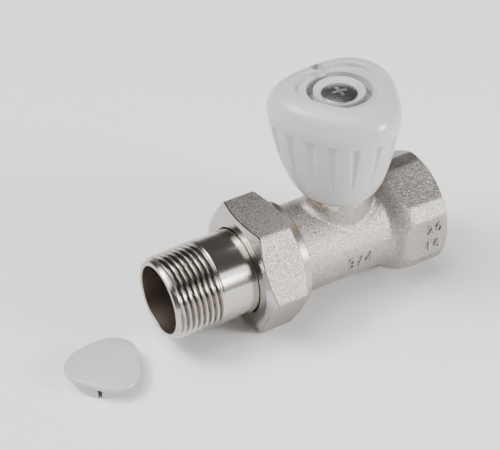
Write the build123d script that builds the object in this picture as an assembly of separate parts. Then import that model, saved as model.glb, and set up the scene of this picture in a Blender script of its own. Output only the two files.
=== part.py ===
from build123d import *
import os
from math import cos, hypot, pi, radians, sin, sqrt, tan

# A straight manual radiator valve with a union tailpiece, in millimetres.
# The origin is the centre of the inlet's mouth on the pipe axis.
# +X points out of the inlet, +Z up along the stem.

# Running fits and gaps between pieces
shaft_fit = 0.05
guide_fit = 0.1
thread_fit = 0.15
face_gap = 0.4
radial_gap = 0.3

# Pipe run
stem_x = -30.5
barrel_radius = 14.1
barrel_wall = 2.4
inlet_hex_across = 34.5
inlet_hex_length = 12.8
inlet_mouth_radius = 16.4
inlet_mouth_bevel = 1.8
shoulder_length = 7.6
inlet_thread_radius = 12.06
inlet_thread_length = 15.0
inlet_throat_radius = 9.5
inlet_throat_length = 3.0

# Union end of the body
union_ring_radius = 16.6
union_ring_length = 2.6
union_ring_from_stem = 19.0
union_thread_radius = 15.9
spigot_length = 7.2
spigot_bevel = 0.8
outlet_bore_radius = 10.5
outlet_bore_from_stem = 12.0

# Neck, seat and passages
neck_radius = 10.4
neck_height = 3.9
neck_blend = 2.6
passage_radius = 5.2
upper_passage_radius = 4.8
chamber_radius = 7.6
chamber_floor_z = 1.5
seat_bore_radius = 5.2
seat_lip_width = 1.0
seat_lip_height = 0.8

# Plug on the stem
plug_lift = 4.5
stop_gap = 0.5
seat_washer_radius = 6.9
seat_washer_thickness = 2.2
washer_screw_radius = 1.5
washer_screw_head_radius = 2.6
washer_screw_head_height = 1.2
washer_screw_length = 4.6
washer_plate_radius = 4.2
washer_plate_thickness = 0.5
plug_disc_radius = 7.2
plug_disc_thickness = 1.5
plug_hex_across = 9.0
plug_hex_length = 9.8
plug_bore_floor = 2.0
stem_thread_radius = 2.9

# Headwork in the neck
headwork_thread_radius = 7.95
headwork_flange_radius = 8.7
headwork_flange_thickness = 1.0
headwork_hex_across = 14.0
headwork_hex_height = 5.5
headwork_sleeve_radius = 6.0
headwork_sleeve_length = 11.0
headwork_nose_radius = 7.5
headwork_nose_length = 2.6
headwork_seal_depth = 1.0
headwork_seal_height = 1.3

# Stem
stem_radius = 3.5
stem_collar_radius = 4.5
stem_collar_thickness = 1.5
slip_washer_thickness = 0.5
ring_groove_depth = 1.15
ring_groove_height = 1.8
ring_groove_lower = 2.2
ring_groove_pitch = 4.0
retaining_ring_radius = 5.0
retaining_ring_thickness = 0.8
retaining_groove_depth = 0.6
retaining_ring_mouth = 60.0
serration_count = 18
serration_depth = 0.3
screw_hole_spare = 0.5

# Handwheel
handwheel_rim_radius = 10.0
handwheel_wide_radius = 19.75
handwheel_skirt_height = 28.1
handwheel_skirt_curve = 0.46
handwheel_dome_height = 7.7
handwheel_wall = 2.0
handwheel_rim_wall = 1.1
handwheel_lobe = 0.085
handwheel_lobe_angle = 32.5
lobe_points = 12
recess_radius = 12.2
recess_lobe = 0.098
recess_depth = 1.6
well_radius = 9.8
well_depth = 4.6
hub_radius = 7.76
hub_step = 0.15
hub_dish = 1.1
hub_foot_radius = 5.6
hub_above_ring = 1.2
rib_thickness = 1.2
rib_count = 6
flute_count = 18
flute_phase = -3.2
flute_from_rim = 8.1
flute_length = 17.9
flute_top_radius = 1.7
flute_top_depth = 0.75
flute_bottom_radius = 0.5
flute_bottom_depth = -0.05
notch_width = 3.4
notch_angle = 94.0
notch_reach = 2.2

# Handwheel screw
screw_head_radius = 5.37
screw_head_edge = 1.2
screw_head_height = 2.0
screw_head_below_hub = 0.3
screw_shank_radius = 1.95
screw_length = 11.0

# Cap, lying beside the tailpiece on the surface that the nut rests on
cap_x = -113.0
cap_y = -3.0
cap_angle = 36.0
cap_edge_thickness = 1.3
cap_crown = 1.1
cap_skirt_thickness = 1.0
cap_skirt_slack = 0.3
cap_slot_count = 3
cap_slot_width = 1.1
cap_slot_angle = 200.0

# Union nut and tailpiece
nut_wall = 2.45
nut_length = 13.6
nut_lip = 2.8
nut_face_radius = 17.2
nut_front_bevel = 1.6
nut_rear_face_radius = 18.0
nut_rear_bevel = 1.46
tail_radius = 13.35
tail_thread_radius = 12.92
tail_thread_length = 14.1
tail_end_bevel = 1.6
tail_end_face_radius = 12.0
tail_bore_radius = 10.7
tail_plain_length = 14.0
tail_collar_slack = 0.45
tail_collar_thickness = 2.5
tail_seal_step = 0.6
tail_seal_thickness = 1.5

# The nut's flats stand a wall outside its thread, and the inlet's cut corners are
# as far from the axis, so that the valve lies level on both
nut_across = 2 * (union_thread_radius + thread_fit + nut_wall)
inlet_corner_across = nut_across
point_up = 30

# The collar and its seal pass through the nut's thread
tail_collar_radius = union_thread_radius + thread_fit - tail_collar_slack
tail_seal_radius = tail_collar_radius - tail_seal_step

# Heights worked out from the sizes above
neck_top_z = barrel_radius + neck_height
seat_z = chamber_floor_z + seat_lip_height
washer_plate_z = seat_z - washer_plate_thickness
plug_disc_z = seat_z + seat_washer_thickness
plug_hex_z = plug_disc_z + plug_disc_thickness
plug_top_z = plug_hex_z + plug_hex_length
plug_bore_z = plug_hex_z + plug_bore_floor
headwork_bottom_z = plug_hex_z + plug_lift + stop_gap
headwork_thread_z = headwork_bottom_z + headwork_nose_length
collar_z = plug_top_z + plug_lift + stop_gap
slip_washer_z = collar_z + stem_collar_thickness
stem_shoulder_z = slip_washer_z + slip_washer_thickness
headwork_top_z = stem_shoulder_z + headwork_sleeve_length
retaining_ring_z = headwork_top_z + guide_fit + slip_washer_thickness
handwheel_bottom_z = neck_top_z + face_gap
handwheel_wide_z = handwheel_bottom_z + handwheel_skirt_height
handwheel_top_z = handwheel_wide_z + handwheel_dome_height
recess_floor_z = handwheel_top_z - recess_depth
hub_top_z = recess_floor_z - hub_step
hub_bottom_z = retaining_ring_z + retaining_ring_thickness + hub_above_ring
well_floor_z = recess_floor_z - well_depth
screw_seat_z = hub_top_z - screw_head_below_hub - screw_head_height
stem_top_z = well_floor_z - handwheel_wall

# Places along the pipe worked out from the sizes above
ring_right_x = stem_x - union_ring_from_stem
ring_left_x = ring_right_x - union_ring_length
spigot_end_x = ring_left_x - spigot_length
tail_seal_x = spigot_end_x - tail_seal_thickness
tail_collar_x = tail_seal_x - tail_collar_thickness
nut_front_x = tail_collar_x - nut_lip
nut_rear_x = nut_front_x + nut_length
tail_plain_x = tail_collar_x - tail_plain_length
tail_thread_x = tail_plain_x - tail_thread_length
tail_end_x = tail_thread_x - tail_end_bevel
floor_z = -nut_across / 2


def across_pipe(x):
    # A drawing plane square to the pipe, with its own x to the back and y up
    return Plane(origin=(x, 0, 0), x_dir=(0, 1, 0), z_dir=(1, 0, 0))


def across_stem(z, turn=0.0):
    # A drawing plane square to the stem
    return Plane(origin=(stem_x, 0, z)).rotated((0, 0, turn))


def pipe_rod(radius, x_low, x_high, z=0.0):
    rod = Cylinder(radius, x_high - x_low, align=(Align.CENTER, Align.CENTER, Align.MIN))
    return Plane(origin=(x_low, 0, z), z_dir=(1, 0, 0)) * rod


def stem_rod(radius, z_low, z_high):
    rod = Cylinder(radius, z_high - z_low, align=(Align.CENTER, Align.CENTER, Align.MIN))
    return Pos(stem_x, 0, z_low) * rod


def turned_on_pipe(outline):
    # The outline's points are (place along the pipe, radius)
    wire = Wire.make_polygon([(x, 0, r) for x, r in outline], close=True)
    return revolve(Face(wire), Axis.X)


def turned_on_stem(outline):
    # The outline's points are (radius, height)
    wire = Wire.make_polygon([(stem_x + r, 0, z) for r, z in outline], close=True)
    return revolve(Face(wire), Axis((stem_x, 0, 0), (0, 0, 1)))


def hexagon(across, turn=0.0):
    return RegularPolygon(across / 2, 6, major_radius=False, rotation=turn)


def inlet_end():
    # The hexagon has flats front and back and narrow cut corners all round,
    # and a turned form cuts its mouth and runs its facets out into the barrel
    corner_spare = max(inlet_hex_across / sqrt(3) - inlet_corner_across / 2, 0)
    corner_radius = hypot(inlet_corner_across / 2, corner_spare * tan(radians(60)))
    outer_radius = corner_radius + face_gap
    shoulder_start = -inlet_hex_length - shoulder_length
    flank = (-inlet_hex_length - shoulder_length * 0.42, inlet_hex_across / 2)
    blend = Spline(
        (shoulder_start, 0, barrel_radius),
        (flank[0], 0, flank[1]),
        (-inlet_hex_length, 0, outer_radius),
        tangents=[(1, 0, 0.05), (1, 0, 0.35)],
    )
    rest = Polyline(
        (-inlet_hex_length, 0, outer_radius),
        (-inlet_mouth_bevel, 0, outer_radius),
        (0, 0, inlet_mouth_radius),
        (0, 0, 0),
        (shoulder_start, 0, 0),
        (shoulder_start, 0, barrel_radius),
    )
    envelope = revolve(Face(Wire(blend.edges() + rest.edges())), Axis.X)
    prism = extrude(across_pipe(shoulder_start) * hexagon(inlet_hex_across, point_up), -shoulder_start)
    corners = extrude(across_pipe(shoulder_start) * hexagon(inlet_corner_across), -shoulder_start)
    return envelope & prism & corners


def passages():
    # Water comes in at the mouth, dips under the seat, rises through it and leaves above
    lower_z = -(barrel_radius - barrel_wall - passage_radius)
    upper_z = chamber_floor_z + upper_passage_radius
    throat_x = -inlet_thread_length - inlet_throat_length
    outlet_x = stem_x - outlet_bore_from_stem
    neck_bore_radius = headwork_thread_radius + shaft_fit
    hollow = pipe_rod(inlet_thread_radius, -inlet_thread_length, 0)
    hollow += pipe_rod(inlet_throat_radius, throat_x, -inlet_thread_length)
    hollow += pipe_rod(passage_radius, stem_x, throat_x, lower_z)
    hollow += Pos(stem_x, 0, lower_z) * Sphere(passage_radius)
    hollow += stem_rod(seat_bore_radius, lower_z, seat_z)
    hollow += pipe_rod(upper_passage_radius, outlet_x, stem_x, upper_z)
    hollow += pipe_rod(outlet_bore_radius, spigot_end_x, outlet_x)
    hollow += stem_rod(chamber_radius, chamber_floor_z, headwork_thread_z)
    hollow += stem_rod(neck_bore_radius, headwork_thread_z, neck_top_z)
    return hollow


def valve_body():
    union_end = turned_on_pipe([
        (spigot_end_x, 0),
        (spigot_end_x, union_thread_radius - thread_fit - spigot_bevel),
        (spigot_end_x + spigot_bevel, union_thread_radius - thread_fit),
        (ring_left_x, union_thread_radius - thread_fit),
        (ring_left_x, union_ring_radius),
        (ring_right_x, union_ring_radius),
        (ring_right_x, 0),
    ])
    barrel = pipe_rod(barrel_radius, ring_right_x, -inlet_hex_length)
    body = barrel + stem_rod(neck_radius, 0, neck_top_z)
    root = body.edges().filter_by(GeomType.BSPLINE)
    body = fillet(root, neck_blend)
    body = body + union_end + inlet_end()
    lip = stem_rod(seat_bore_radius + seat_lip_width, chamber_floor_z - seat_lip_height, seat_z)
    body = body - passages() + (lip - stem_rod(seat_bore_radius, 0, seat_z))
    return body


def headwork():
    # Hollow turned insert: bolts on the neck by its hexagon and guides plug and stem
    hex_z = neck_top_z + headwork_flange_thickness
    sleeve_z = hex_z + headwork_hex_height
    insert = turned_on_stem([
        (0, headwork_bottom_z),
        (headwork_nose_radius, headwork_bottom_z),
        (headwork_nose_radius, headwork_thread_z),
        (headwork_thread_radius, headwork_thread_z),
        (headwork_thread_radius, neck_top_z),
        (headwork_flange_radius, neck_top_z),
        (headwork_flange_radius, hex_z),
        (headwork_sleeve_radius, hex_z),
        (headwork_sleeve_radius, headwork_top_z),
        (0, headwork_top_z),
    ])
    insert += extrude(across_stem(hex_z) * hexagon(headwork_hex_across), sleeve_z - hex_z)
    guide = hexagon(plug_hex_across + 2 * guide_fit)
    insert -= extrude(across_stem(headwork_bottom_z) * guide, stem_shoulder_z - headwork_bottom_z)
    insert -= stem_rod(stem_radius + shaft_fit, stem_shoulder_z, headwork_top_z)
    groove_z = headwork_bottom_z + (headwork_nose_length - headwork_seal_height) / 2
    groove = stem_rod(headwork_nose_radius, groove_z, groove_z + headwork_seal_height)
    groove -= stem_rod(headwork_nose_radius - headwork_seal_depth, groove_z, groove_z + headwork_seal_height)
    return insert - groove


def sealing_ring(inner, outer, z):
    # A round-section ring centred at height z
    section = (outer - inner) / 2
    return Pos(stem_x, 0, z) * Torus(inner + section, section)


def headwork_seal():
    middle_z = headwork_bottom_z + headwork_nose_length / 2
    return sealing_ring(headwork_nose_radius - headwork_seal_depth, chamber_radius, middle_z)


def slip_washer(radius, z):
    # A thin washer round the stem with its lower face at height z
    washer = stem_rod(radius, z, z + slip_washer_thickness)
    return washer - stem_rod(stem_radius + shaft_fit, z, z + slip_washer_thickness)


def serrated(radius):
    # The stem's toothed section, also the form of the hub's bore
    corners = []
    for tooth in range(serration_count):
        for half in (0, 1):
            reach = radius - half * serration_depth
            turn = 2 * pi * (tooth + half / 2) / serration_count
            corners.append((reach * cos(turn), reach * sin(turn)))
    return Polygon(*corners, align=None)


def ring_heights():
    # The middle heights of the stem's two sealing rings
    lower = stem_shoulder_z + ring_groove_lower + ring_groove_height / 2
    return lower, lower + ring_groove_pitch


def stem():
    thread_bottom_z = plug_bore_z + plug_lift + stop_gap
    ring_top_z = retaining_ring_z + retaining_ring_thickness
    shaft = turned_on_stem([
        (0, thread_bottom_z),
        (stem_thread_radius, thread_bottom_z),
        (stem_thread_radius, collar_z),
        (stem_collar_radius, collar_z),
        (stem_collar_radius, slip_washer_z),
        (stem_radius, slip_washer_z),
        (stem_radius, retaining_ring_z),
        (stem_radius - retaining_groove_depth, retaining_ring_z),
        (stem_radius - retaining_groove_depth, ring_top_z),
        (stem_radius, ring_top_z),
        (stem_radius, hub_bottom_z),
        (0, hub_bottom_z),
    ])
    shaft += extrude(across_stem(hub_bottom_z) * serrated(stem_radius), stem_top_z - hub_bottom_z)
    for middle_z in ring_heights():
        low = middle_z - ring_groove_height / 2
        shaft -= stem_rod(stem_radius, low, low + ring_groove_height) - stem_rod(
            stem_radius - ring_groove_depth, low, low + ring_groove_height)
    hole_bottom_z = screw_seat_z - screw_length - screw_hole_spare
    return shaft - stem_rod(screw_shank_radius + shaft_fit, hole_bottom_z, stem_top_z)


def stem_ring(middle_z):
    return sealing_ring(stem_radius - ring_groove_depth, stem_radius, middle_z)


def stem_retaining_ring():
    # A flat spring ring with an open mouth
    low = retaining_ring_z
    high = low + retaining_ring_thickness
    ring = stem_rod(retaining_ring_radius, low, high)
    ring -= stem_rod(stem_radius - retaining_groove_depth, low, high)
    mouth = Polygon(
        (0, 0),
        (2 * retaining_ring_radius, -2 * retaining_ring_radius * tan(radians(retaining_ring_mouth / 2))),
        (2 * retaining_ring_radius, 2 * retaining_ring_radius * tan(radians(retaining_ring_mouth / 2))),
        align=None,
    )
    return ring - extrude(across_stem(low) * mouth, retaining_ring_thickness)


def plug():
    carrier = stem_rod(plug_disc_radius, plug_disc_z, plug_hex_z)
    carrier += extrude(across_stem(plug_hex_z) * hexagon(plug_hex_across), plug_hex_length)
    carrier -= stem_rod(stem_thread_radius + shaft_fit, plug_bore_z, plug_top_z)
    screw_top_z = seat_z + washer_screw_length
    return carrier - stem_rod(washer_screw_radius, plug_disc_z, screw_top_z)


def seat_washer():
    washer = stem_rod(seat_washer_radius, seat_z, plug_disc_z)
    return washer - stem_rod(washer_screw_radius, seat_z, plug_disc_z)


def washer_plate():
    # The metal disc that the screw's head presses on the soft washer
    plate = stem_rod(washer_plate_radius, washer_plate_z, seat_z)
    return plate - stem_rod(washer_screw_radius, washer_plate_z, seat_z)


def washer_screw():
    head = stem_rod(washer_screw_head_radius, washer_plate_z - washer_screw_head_height, washer_plate_z)
    return head + stem_rod(washer_screw_radius, washer_plate_z, seat_z + washer_screw_length)


def lobed_ring(radius, lobe, z, turn=handwheel_lobe_angle):
    # A closed smooth three-lobed outline about the stem at height z
    points = []
    for step in range(lobe_points):
        angle = 2 * pi * step / lobe_points
        reach = radius * (1 + lobe * cos(3 * angle))
        points.append((reach * cos(angle), reach * sin(angle)))
    return Plane(origin=(stem_x, 0, z)).rotated((0, 0, turn)) * make_face(Spline(*points, periodic=True))


def skirt_radius(share):
    # The skirt widens upwards, fast at the rim and slowly near the widest height
    growth = handwheel_wide_radius - handwheel_rim_radius
    return handwheel_rim_radius + growth * share ** handwheel_skirt_curve


def skirt_lobe(share):
    return handwheel_lobe * (1 - (1 - share) ** 3)


def skirt_rings(shares, inward):
    # Rings of the skirt's surface, or of one that lies inside it
    return [
        lobed_ring(skirt_radius(share) - inward, skirt_lobe(share),
                   handwheel_bottom_z + share * handwheel_skirt_height)
        for share in shares
    ]


def dome_rings(inward):
    # The dome curves in from the widest height to the recess as a quarter of an ellipse
    rings = []
    for step in (22.5, 45, 67.5, 90):
        rise = sin(radians(step))
        reach = (handwheel_wide_radius - inward - recess_radius) * cos(radians(step))
        lobe = handwheel_lobe + (recess_lobe - handwheel_lobe) * rise
        z = handwheel_wide_z + rise * (handwheel_dome_height - inward)
        rings.append(lobed_ring(recess_radius + reach, lobe, z))
    return rings


def handwheel_outside():
    return loft(skirt_rings((0, 0.03, 0.12, 0.3, 0.55, 0.78, 1), 0) + dome_rings(0))


def handwheel_hollow():
    mouth_radius = handwheel_rim_radius - handwheel_rim_wall
    mouth = [lobed_ring(mouth_radius, 0, handwheel_bottom_z)]
    return loft(mouth + skirt_rings((0.12, 0.3, 0.55, 0.78, 1), handwheel_wall) + dome_rings(handwheel_wall))


def skirt_point(share, angle, inward):
    # A point on or under the skirt's surface, at an angle from the lobe's corner
    lobe = skirt_lobe(share) * cos(radians(3 * angle))
    reach = skirt_radius(share) * (1 + lobe) - inward
    turn = radians(angle + handwheel_lobe_angle)
    z = handwheel_bottom_z + share * handwheel_skirt_height
    return Vector(stem_x + reach * cos(turn), reach * sin(turn), z)


def flute(angle):
    # A tapering round cutter along the skirt, deep and square-ended at the top.
    # The flutes are evenly spaced along the lobed outline, so closer in angle on a lobe.
    angle -= handwheel_lobe / 3 * 180 / pi * sin(radians(3 * angle))
    top_share = (flute_from_rim + flute_length) / handwheel_skirt_height
    low_share = flute_from_rim / handwheel_skirt_height
    top = skirt_point(top_share, angle, flute_top_depth - flute_top_radius)
    low = skirt_point(low_share, angle, flute_bottom_depth - flute_bottom_radius)
    along = top - low
    foot = (Align.CENTER, Align.CENTER, Align.MIN)
    cutter = Cone(flute_bottom_radius, flute_top_radius, along.length, align=foot)
    return Plane(origin=low, z_dir=along) * cutter


def handwheel():
    outside = handwheel_outside()
    well_wall_radius = well_radius + handwheel_wall
    well_block = outside & stem_rod(well_wall_radius, well_floor_z - handwheel_wall, handwheel_top_z)
    hub = stem_rod(hub_radius, well_floor_z - handwheel_wall, hub_top_z)
    hub += stem_rod(hub_foot_radius, hub_bottom_z, well_floor_z)
    rib_z = well_floor_z - handwheel_wall * 2
    rib_reach = handwheel_wide_radius * (1 + handwheel_lobe)
    rib = Box(rib_reach, rib_thickness, handwheel_top_z - rib_z, align=(Align.MIN, Align.CENTER, Align.MIN))
    ribs = [
        across_stem(rib_z, handwheel_lobe_angle + 360 * n / rib_count) * rib
        for n in range(rib_count)
    ]
    hollow = handwheel_hollow() - well_block - hub - ribs
    wheel = outside - hollow
    wheel += hub
    wheel -= extrude(lobed_ring(recess_radius - face_gap, recess_lobe, recess_floor_z), recess_depth)
    well = stem_rod(well_radius, well_floor_z, handwheel_top_z)
    wheel -= well - stem_rod(hub_radius, well_floor_z, hub_top_z)
    wheel -= extrude(across_stem(hub_bottom_z) * serrated(stem_radius + shaft_fit), stem_top_z - hub_bottom_z)
    wheel -= stem_rod(screw_shank_radius + guide_fit, stem_top_z, screw_seat_z)
    wheel -= stem_rod(screw_head_radius + guide_fit, screw_seat_z, hub_top_z)
    wheel -= turned_on_stem([
        (0, hub_top_z - hub_dish),
        (screw_head_radius + guide_fit, hub_top_z - hub_dish),
        (hub_radius, hub_top_z),
        (0, hub_top_z),
    ])
    wheel -= [flute(flute_phase + 360 * n / flute_count) for n in range(flute_count)]
    notch = Box(recess_radius, notch_width, recess_depth, align=(Align.MIN, Align.CENTER, Align.MIN))
    wheel -= across_stem(recess_floor_z, notch_angle) * Pos(notch_reach, 0, 0) * notch
    return wheel


def handwheel_screw():
    shank_bottom_z = screw_seat_z - screw_length
    edge_z = screw_seat_z + screw_head_edge
    crown_z = screw_seat_z + screw_head_height
    side = Polyline(
        (stem_x, 0, crown_z),
        (stem_x, 0, shank_bottom_z),
        (stem_x + screw_shank_radius, 0, shank_bottom_z),
        (stem_x + screw_shank_radius, 0, screw_seat_z),
        (stem_x + screw_head_radius, 0, screw_seat_z),
        (stem_x + screw_head_radius, 0, edge_z),
    )
    rise = crown_z - edge_z
    dome_radius = (screw_head_radius ** 2 + rise ** 2) / (2 * rise)
    half_reach = screw_head_radius / 2
    half_z = crown_z - dome_radius + sqrt(dome_radius ** 2 - half_reach ** 2)
    dome = ThreePointArc(
        (stem_x + screw_head_radius, 0, edge_z),
        (stem_x + half_reach, 0, half_z),
        (stem_x, 0, crown_z),
    )
    return revolve(Face(Wire(side.edges() + dome.edges())), Axis((stem_x, 0, 0), (0, 0, 1)))


def handwheel_cap():
    # A shallow dome over a three-lobed plate, on a slotted skirt that fits the well
    skirt_radius_out = well_radius - cap_skirt_slack
    skirt_height = well_depth - cap_skirt_slack
    plate_z = floor_z + skirt_height
    plate_radius = recess_radius - 2 * face_gap
    crown_z = plate_z + cap_edge_thickness + cap_crown
    tip = plate_radius * (1 + recess_lobe)
    dome_radius = (tip ** 2 + cap_crown ** 2) / (2 * cap_crown)
    place = Pos(cap_x - stem_x, cap_y, 0)
    outline = lobed_ring(plate_radius, recess_lobe, plate_z, cap_angle)
    plate = extrude(outline, cap_edge_thickness + cap_crown)
    plate = plate & (Pos(stem_x, 0, crown_z - dome_radius) * Sphere(dome_radius))
    skirt = stem_rod(skirt_radius_out, floor_z, plate_z)
    skirt -= stem_rod(skirt_radius_out - cap_skirt_thickness, floor_z, plate_z)
    for n in range(cap_slot_count):
        slot = Box(well_radius, cap_slot_width, skirt_height, align=(Align.MIN, Align.CENTER, Align.MIN))
        skirt -= across_stem(floor_z, cap_slot_angle + 360 * n / cap_slot_count) * slot
    return place * (plate + skirt)


def tailpiece():
    return turned_on_pipe([
        (tail_end_x, tail_bore_radius),
        (tail_end_x, tail_end_face_radius),
        (tail_thread_x, tail_thread_radius),
        (tail_plain_x, tail_thread_radius),
        (tail_plain_x, tail_radius),
        (tail_collar_x, tail_radius),
        (tail_collar_x, tail_collar_radius),
        (tail_seal_x, tail_collar_radius),
        (tail_seal_x, tail_bore_radius),
    ])


def tailpiece_seal():
    seal = pipe_rod(tail_seal_radius, tail_seal_x, spigot_end_x)
    return seal - pipe_rod(tail_bore_radius, tail_seal_x, spigot_end_x)


def union_nut():
    # A hexagon with flats top and bottom, bevelled at both ends by a turned form
    corner_radius = nut_across / sqrt(3) + face_gap
    envelope = turned_on_pipe([
        (nut_front_x, 0),
        (nut_front_x, nut_face_radius),
        (nut_front_x + nut_front_bevel, corner_radius),
        (nut_rear_x - nut_rear_bevel, corner_radius),
        (nut_rear_x, nut_rear_face_radius),
        (nut_rear_x, 0),
    ])
    nut = envelope & extrude(across_pipe(nut_front_x) * hexagon(nut_across), nut_length)
    nut -= pipe_rod(tail_radius + radial_gap, nut_front_x, tail_collar_x)
    return nut - pipe_rod(union_thread_radius + thread_fit, tail_collar_x, nut_rear_x)


def write_parts():
    os.makedirs("parts", exist_ok=True)
    ring_low, ring_high = ring_heights()
    pieces = {
        "valve_body": valve_body(),
        "headwork": headwork(),
        "headwork_seal": headwork_seal(),
        "stem_slip_washer": slip_washer(stem_collar_radius, slip_washer_z),
        "ring_slip_washer": slip_washer(retaining_ring_radius, headwork_top_z),
        "handwheel_cap": handwheel_cap(),
        "handwheel": handwheel(),
        "handwheel_screw": handwheel_screw(),
        "stem": stem(),
        "stem_retaining_ring": stem_retaining_ring(),
        "stem_ring_upper": stem_ring(ring_high),
        "stem_ring_lower": stem_ring(ring_low),
        "plug": plug(),
        "seat_washer": seat_washer(),
        "washer_plate": washer_plate(),
        "washer_screw": washer_screw(),
        "tailpiece": tailpiece(),
        "tailpiece_seal": tailpiece_seal(),
        "union_nut": union_nut(),
    }
    for name, shape in pieces.items():
        export_step(shape, "parts/" + name + ".step")


write_parts()
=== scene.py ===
from math import cos, hypot, pi, radians, sin, sqrt

import bmesh
import bpy
import numpy as np
from mathutils import Euler, Matrix, Vector


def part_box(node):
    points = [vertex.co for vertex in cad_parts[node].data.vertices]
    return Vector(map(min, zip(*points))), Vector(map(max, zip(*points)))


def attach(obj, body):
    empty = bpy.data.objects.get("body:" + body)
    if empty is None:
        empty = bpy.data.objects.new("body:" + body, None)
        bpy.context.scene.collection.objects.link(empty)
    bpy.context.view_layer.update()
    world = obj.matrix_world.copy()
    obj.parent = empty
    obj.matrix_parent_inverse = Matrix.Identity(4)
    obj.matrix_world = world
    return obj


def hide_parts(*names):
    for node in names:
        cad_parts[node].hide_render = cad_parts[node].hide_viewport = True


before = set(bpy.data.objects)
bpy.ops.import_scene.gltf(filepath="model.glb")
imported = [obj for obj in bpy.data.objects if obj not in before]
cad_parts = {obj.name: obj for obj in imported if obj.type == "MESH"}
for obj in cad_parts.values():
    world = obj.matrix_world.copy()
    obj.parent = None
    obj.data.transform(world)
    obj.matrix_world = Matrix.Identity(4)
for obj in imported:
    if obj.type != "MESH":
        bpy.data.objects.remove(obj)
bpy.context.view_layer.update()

scene = bpy.context.scene
mm = 0.001  # sizes below are in millimetres, meshes in metres
nodeBox = {name: np.array(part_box(name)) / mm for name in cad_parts}
stemX = float(nodeBox["headwork"][:, 0].mean())
floorZ = float(nodeBox["union_nut"][0, 2])
toolColumns = 96  # sides of a round carving tool
print("frame loaded, stem at x", round(stemX, 2), "mm, floor at", round(floorZ, 2), "mm")


# shaping helpers
def smoothMin(a, b, rounding):
    # the lower of two surfaces, with the crease between them rounded
    blend = np.maximum(rounding - np.abs(a - b), 0) / rounding
    return np.minimum(a, b) - blend * blend * rounding / 4


def throughPoints(knots, values, where):
    # a smooth curve through the given values
    knots, values, where = (np.asarray(item, float) for item in (knots, values, where))
    slopes = np.gradient(values, knots)
    low = np.clip(np.searchsorted(knots, where, side="right") - 1, 0, len(knots) - 2)
    span = knots[low + 1] - knots[low]
    t = np.clip((where - knots[low]) / span, 0, 1)
    start = (1 + 2 * t) * (1 - t) ** 2 * values[low] + t * (1 - t) ** 2 * span * slopes[low]
    end = t * t * (3 - 2 * t) * values[low + 1] + t * t * (t - 1) * span * slopes[low + 1]
    return start + end


def prismRadius(angles, across, normals):
    # how far a prism's flats stand from its axis, looked at along each angle
    farOut, leastFacing = 1e3, 0.2
    radius = np.full(len(angles), farOut)
    for normal in normals:
        facing = np.maximum(np.cos(angles - radians(normal)), leastFacing)
        radius = np.minimum(radius, across / 2 / facing)
    return radius


def ringAngles(count, corners=(), offsets=()):
    # evenly spaced angles, with extra ones beside each corner in place of those too near them
    even, room = np.arange(count) * 2 * pi / count, pi / count * 0.7
    extra = [radians(corner + offset) % (2 * pi) for corner in corners for offset in offsets]
    plain = [a for a in even if all(abs((a - e + pi) % (2 * pi) - pi) > room for e in extra)]
    return np.array(sorted(plain + extra))


def roundedPath(points, steps=3, closed=False):
    # turns (along, radius, rounding) points into a profile with rounded corners
    path, count = [], len(points)
    support = 0.06  # short straight on both sides of a rounding
    most = 0.42  # the share of a side that one rounding may take
    for i, (along, radius, rounding) in enumerate(points):
        here = np.array([along, radius])
        if rounding == 0 or (not closed and i in (0, count - 1)):
            path.append((along, radius))
            continue
        back = np.array(points[i - 1][:2]) - here
        ahead = np.array(points[(i + 1) % count][:2]) - here
        reach = min(rounding, most * hypot(*back), most * hypot(*ahead))
        start, end = back / hypot(*back), ahead / hypot(*ahead)
        far = reach + support * min(1, reach / rounding)
        path.append(tuple(here + start * far))
        for step in range(steps + 1):
            t = step / steps
            path.append(tuple(here + start * reach * (1 - t) ** 2 + end * reach * t ** 2))
        path.append(tuple(here + end * far))
    return path


def linked(name, data):
    obj = bpy.data.objects.new(name, data)
    scene.collection.objects.link(obj)
    return obj


def newObject(name, vertices, faces):
    mesh = bpy.data.meshes.new(name)
    mesh.from_pydata([tuple(v) for v in vertices], [], faces)
    return linked(name, mesh)


def tidyMesh(obj, mergeBy=1e-7):
    # welds poles and seams and turns every face outwards
    work = bmesh.new()
    work.from_mesh(obj.data)
    bmesh.ops.remove_doubles(work, verts=work.verts, dist=mergeBy)
    bmesh.ops.recalc_face_normals(work, faces=work.faces)
    work.to_mesh(obj.data)
    work.free()
    return obj


def gridFaces(rows, count, loop):
    # four-sided faces between neighbouring rings; a loop joins the last ring to the first
    faces = []
    for row in range(rows if loop else rows - 1):
        here, there = row * count, (row + 1) % rows * count
        for j in range(count):
            k = (j + 1) % count
            faces.append((here + j, here + k, there + k, there + j))
    return faces


def ringPoints(along, radius, angles, axis):
    across, up = radius * np.cos(angles), radius * np.sin(angles)
    ring = [along, across, up] if axis == "pipe" else [stemX + across, up, along]
    return np.stack(np.broadcast_arrays(*ring), 1)


def turned(name, rows, angles, axis="pipe", loop=False):
    # rows are (place along the axis, radius), each a number or one value per angle
    vertices = [ringPoints(along, radius, angles, axis) for along, radius in rows]
    faces = gridFaces(len(rows), len(angles), loop)
    return tidyMesh(newObject(name, np.concatenate(vertices) * mm, faces))


def bakedMesh(obj):
    evaluated = obj.evaluated_get(bpy.context.evaluated_depsgraph_get())
    return bpy.data.meshes.new_from_object(evaluated)


def applied(obj):
    # turns the piece's modifiers into plain mesh
    mesh = bakedMesh(obj)
    obj.modifiers.clear()
    obj.data = mesh
    return obj


def carve(obj, tool, operation="DIFFERENCE"):
    change = obj.modifiers.new("carve", "BOOLEAN")
    change.operation, change.solver, change.object = operation, "EXACT", tool
    applied(obj)
    bpy.data.objects.remove(tool)
    return obj


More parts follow.
